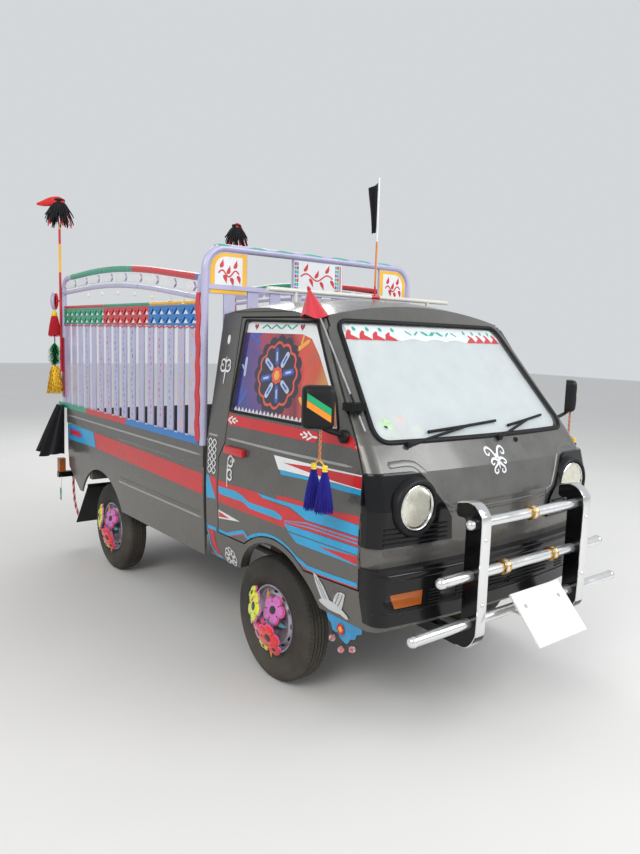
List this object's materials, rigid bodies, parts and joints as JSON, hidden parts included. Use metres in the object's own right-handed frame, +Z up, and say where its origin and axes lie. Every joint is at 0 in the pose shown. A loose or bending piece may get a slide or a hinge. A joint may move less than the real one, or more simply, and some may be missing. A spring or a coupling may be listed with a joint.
{
  "type": "decorated pickup truck",
  "caption": "Small forward-control pickup with fixed bed sides, stake racks, arched hoops, headboard, bull bar, hub flowers, tassels and painted stripes.",
  "frame": {"origin": "on the ground under the middle of the overall length and width", "axes": "+X forward, +Y to the vehicle's left, +Z up"},
  "size_m": [3.8, 1.7614, 2.44],
  "materials": {
    "body_paint": "gloss warm grey enamel",
    "black_paint": "semi-gloss black",
    "chassis_paint": "matt chassis black, dusty",
    "rack_paint": "pale lilac white enamel",
    "cab_glass": "clear",
    "door_film": "glass with coloured film",
    "chrome": "polished",
    "lamp_glass": "fluted clear",
    "amber": "amber lens",
    "black_plastic": "moulded",
    "steel": "bare steel",
    "rim_paint": "silver lilac enamel",
    "tyre": "dusty black rubber",
    "rubber": "matt",
    "foam": "craft foam",
    "cloth_black": "plain cloth",
    "cloth_red": "plain cloth",
    "tinsel": "tassels and tinsel",
    "seat_fabric": "woven cover",
    "plate_white": "blank white",
    "engine_iron": "rough cast",
    "rope_yarn": "twisted yarn"
  },
  "bodies": {
    "chassis": {"chassis_frame": "chassis_paint", "engine_block": "engine_iron", "exhaust": "steel", "fuel_tank": "chassis_paint", "front_suspension": "chassis_paint", "front_struts": "chassis_paint", "rear_axle": "chassis_paint", "cab_floor": "body_paint", "cab_front": "body_paint", "cab_sides": "body_paint", "cab_roof": "body_paint", "cab_back": "body_paint", "cab_glass": "cab_glass", "dashboard": "black_plastic", "seats": "seat_fabric", "steering_column": "black_plastic", "front_bumper": "black_paint", "lamp_bezels": "black_plastic", "headlamps": "lamp_glass", "amber_lamps": "amber", "bull_bar": "chrome", "front_plate": "plate_white", "wipers": "black_paint", "roof_bar": "rack_paint", "aerial": "chrome", "bed_floor": "body_paint", "bed_side_left": "body_paint", "bed_side_right": "body_paint", "side_rack_left": "rack_paint", "side_rack_right": "rack_paint", "headboard": "rack_paint", "corner_poles": "rack_paint", "tassels": "tinsel", "corner_cloths": "cloth_black", "flags": "cloth_red", "rear_bar": "chassis_paint", "mudflaps": "rubber", "rope": "rope_yarn"},
    "door_left": {"door_left": "body_paint", "door_glass_left": "door_film", "mirror_left": "black_plastic"},
    "door_right": {"door_right": "body_paint", "door_glass_right": "door_film", "mirror_right": "black_plastic"},
    "tailgate": {"tailgate": "body_paint"},
    "steering_wheel": {"steering_wheel": "black_plastic"},
    "steer_left": {"knuckle_left": "engine_iron"},
    "steer_right": {"knuckle_right": "engine_iron"},
    "wheel_front_left": {"tyre_front_left": "tyre", "rim_front_left": "rim_paint", "flowers_front_left": "foam"},
    "wheel_front_right": {"tyre_front_right": "tyre", "rim_front_right": "rim_paint", "flowers_front_right": "foam"},
    "wheel_rear_left": {"tyre_rear_left": "tyre", "rim_rear_left": "rim_paint", "flowers_rear_left": "foam"},
    "wheel_rear_right": {"tyre_rear_right": "tyre", "rim_rear_right": "rim_paint", "flowers_rear_right": "foam"}
  },
  "joints": [
    {"name": "steer_right", "type": "hinge", "parent": "chassis", "child": "steer_right", "pos_m": [0.86, -0.5, 0.279], "axis": [0, 0, 1], "range_deg": [-30, 30]},
    {"name": "steer_left", "type": "hinge", "parent": "chassis", "child": "steer_left", "pos_m": [0.86, 0.5, 0.279], "axis": [0, 0, 1], "range_deg": [-30, 30]},
    {"name": "steering_wheel_turn", "type": "hinge", "parent": "chassis", "child": "steering_wheel", "pos_m": [1.122, -0.33, 1.01], "axis": [-0.5, 0, 0.866], "range_deg": [-486, 486]},
    {"name": "wheel_spin_front_left", "type": "hinge", "parent": "steer_left", "child": "wheel_front_left", "pos_m": [0.86, 0.6095, 0.279], "axis": [0, 1, 0], "continuous": true},
    {"name": "wheel_spin_front_right", "type": "hinge", "parent": "steer_right", "child": "wheel_front_right", "pos_m": [0.86, -0.6095, 0.279], "axis": [0, 1, 0], "continuous": true},
    {"name": "wheel_spin_rear_left", "type": "hinge", "parent": "chassis", "child": "wheel_rear_left", "pos_m": [-0.98, 0.5975, 0.279], "axis": [0, 1, 0], "continuous": true},
    {"name": "wheel_spin_rear_right", "type": "hinge", "parent": "chassis", "child": "wheel_rear_right", "pos_m": [-0.98, -0.5975, 0.279], "axis": [0, 1, 0], "continuous": true},
    {"name": "door_left_hinge", "type": "hinge", "parent": "chassis", "child": "door_left", "pos_m": [1.4565, 0.697, 0.88], "axis": [0, 0, -1], "range_deg": [0, 65]},
    {"name": "door_right_hinge", "type": "hinge", "parent": "chassis", "child": "door_right", "pos_m": [1.4565, -0.697, 0.88], "axis": [0, 0, 1], "range_deg": [0, 65]},
    {"name": "tailgate_hinge", "type": "hinge", "parent": "chassis", "child": "tailgate", "pos_m": [-1.661, 0, 0.64], "axis": [0, -1, 0], "range_deg": [0, 90]}
  ],
  "couplings": [
    {"joint": "steer_left", "follows": "steer_right", "ratio": 1},
    {"joint": "steering_wheel_turn", "follows": "steer_right", "ratio": 16}
  ]
}
